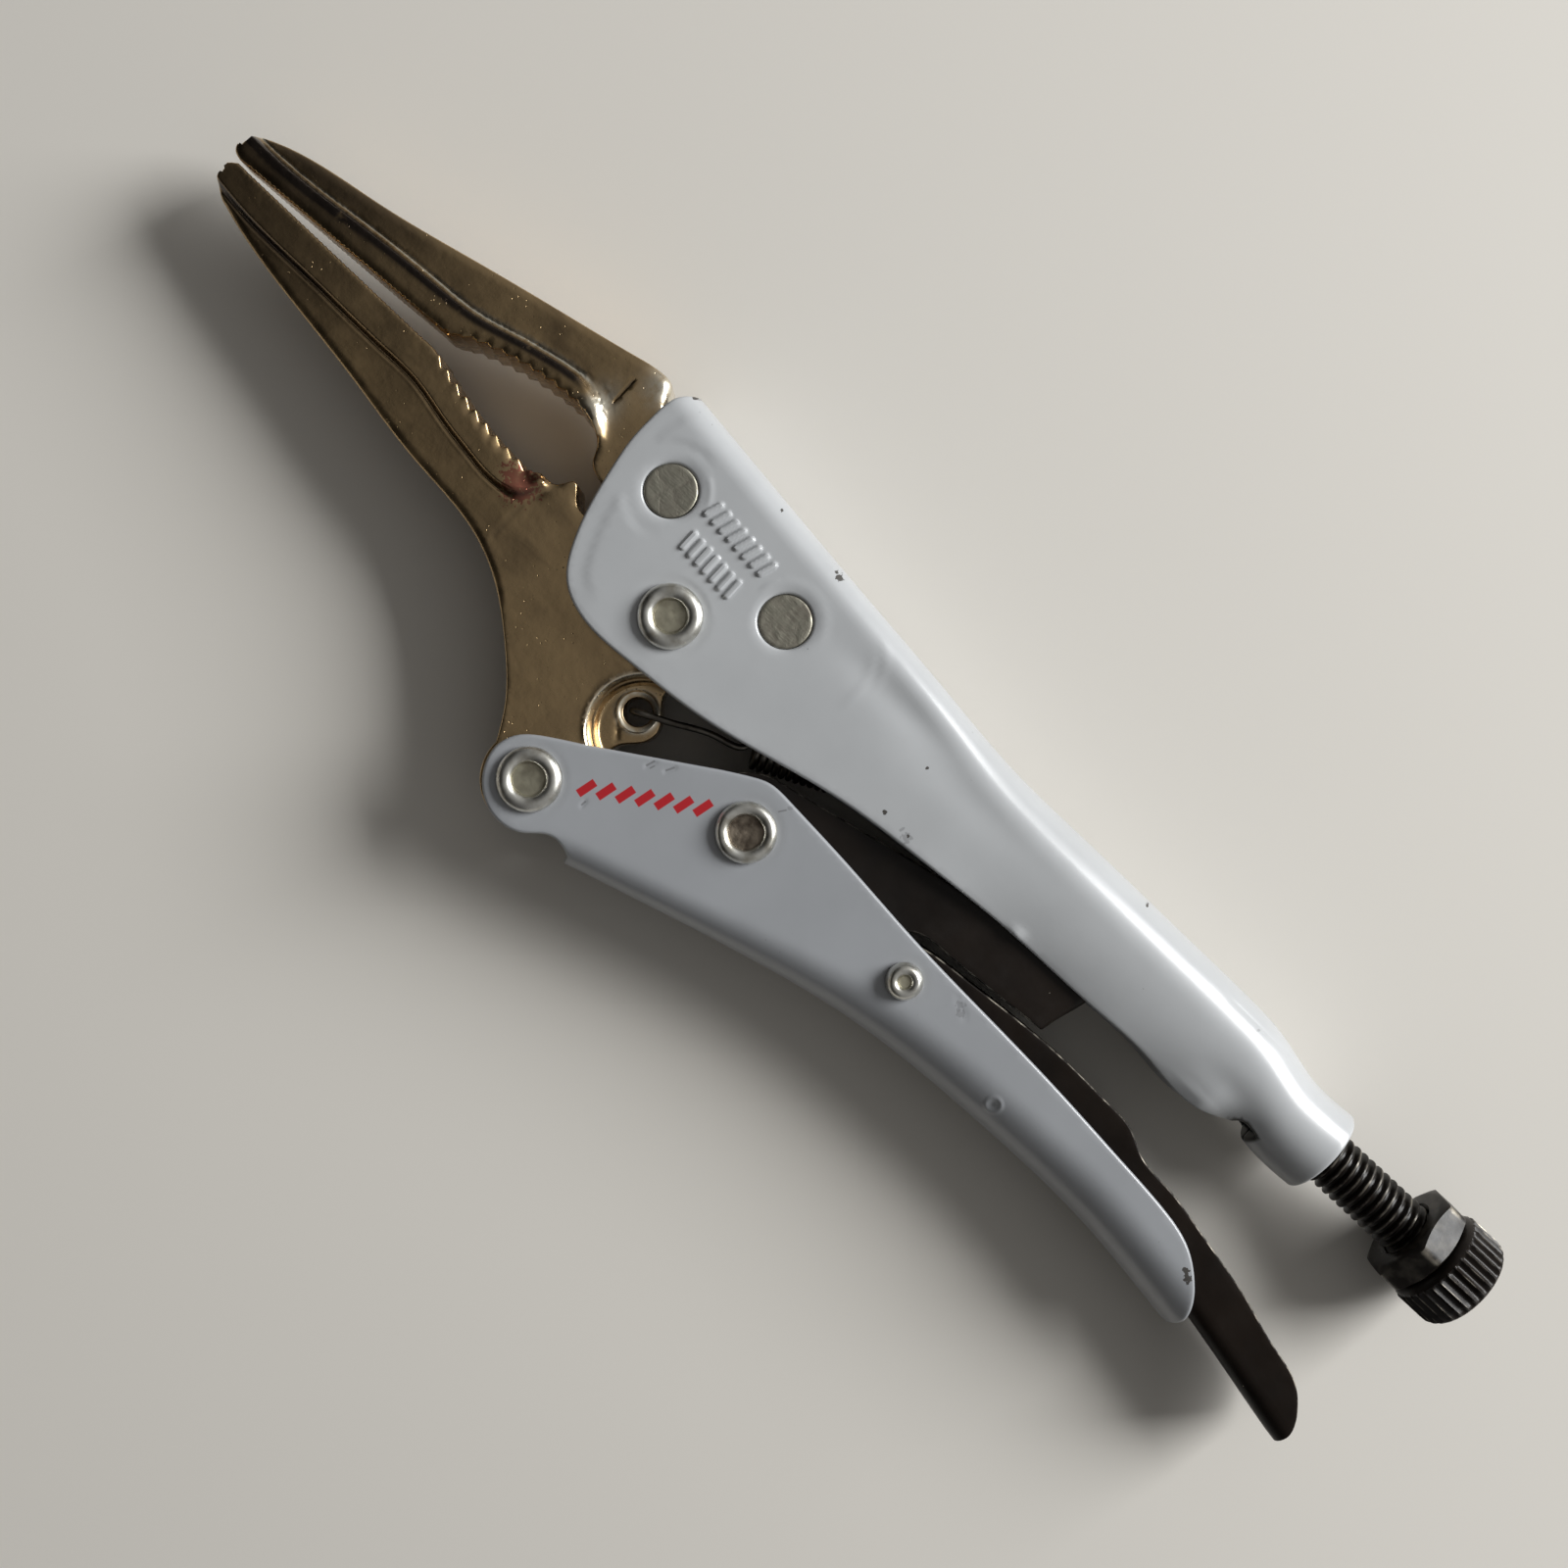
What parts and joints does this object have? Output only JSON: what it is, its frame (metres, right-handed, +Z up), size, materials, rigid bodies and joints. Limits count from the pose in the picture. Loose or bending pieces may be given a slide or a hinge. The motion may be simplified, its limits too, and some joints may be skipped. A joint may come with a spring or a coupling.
{
  "type": "locking pliers",
  "caption": "Long-nose locking pliers, closed and lying on one side: enamelled channel handles, toothed tapering jaws, adjusting screw with lock nut and a release lever.",
  "frame": {"origin": "centre of the bounding box in plan, at the lowest point of the lower rivet heads", "axes": "+X from the nose to the knob along the adjusting screw, +Y from the lever handle to the fixed handle, +Z up through the rivets with the tool lying on its side"},
  "size_m": [0.1704, 0.0448, 0.0134],
  "materials": {
    "enamel": "glossy light blue-grey enamel on pressed steel sheet",
    "jaw_steel": "dark nickel plate over forged steel, fine pits and brushed streaks",
    "rivet_nickel": "bright nickel plate, polished by the forming tool",
    "pin_steel": "dull ground steel",
    "black_steel": "satin black oxide, worn bright along the edges",
    "spring_steel": "dark oiled spring wire"
  },
  "bodies": {
    "fixed_side": {"fixed_handle": "enamel", "fixed_jaw": "jaw_steel", "jaw_pin_front": "pin_steel", "jaw_pin_rear": "pin_steel", "jaw_pivot_rivet": "rivet_nickel", "return_spring": "spring_steel"},
    "jaw": {"moving_jaw": "jaw_steel"},
    "lever": {"lever_handle": "enamel", "lever_rivet": "rivet_nickel", "link_rivet": "rivet_nickel", "release_rivet": "rivet_nickel"},
    "link": {"toggle_link": "black_steel"},
    "release": {"release_lever": "black_steel"},
    "nut": {"lock_nut": "black_steel"},
    "screw": {"adjusting_screw": "black_steel"}
  },
  "joints": [
    {"name": "jaw_pivot", "type": "hinge", "parent": "fixed_side", "child": "jaw", "pos_m": [-0.02025, 0.00418, 0.0065], "axis": [0, 0, 1], "range_deg": [0, 22], "deforming": ["return_spring"]},
    {"name": "lever_pivot", "type": "hinge", "parent": "jaw", "child": "lever", "pos_m": [-0.01953, -0.01715, 0.0065], "axis": [0, 0, 1], "range_deg": [-67, 0]},
    {"name": "link_pivot", "type": "hinge", "parent": "lever", "child": "link", "pos_m": [-0.0002, -0.00639, 0.0065], "axis": [0, 0, 1], "range_deg": [0, 71.84]},
    {"name": "release_turn", "type": "hinge", "parent": "lever", "child": "release", "pos_m": [0.0213, -0.00652, 0.0065], "axis": [0, 0, 1], "range_deg": [0, 2.2]},
    {"name": "adjust_travel", "type": "slide", "parent": "fixed_side", "child": "nut", "axis": [1, 0, 0], "range_m": [0, 0.01]},
    {"name": "adjust_turn", "type": "hinge", "parent": "nut", "child": "screw", "pos_m": [0.0799, 0.00948, 0.0065], "axis": [1, 0, 0], "range_deg": [0, 3690]}
  ],
  "couplings": [
    {"joint": "lever_pivot", "follows": "jaw_pivot", "ratio": -3},
    {"joint": "link_pivot", "follows": "jaw_pivot", "ratio": 3.22},
    {"joint": "adjust_turn", "follows": "adjust_travel", "rad_per_m": 6283.2}
  ]
}
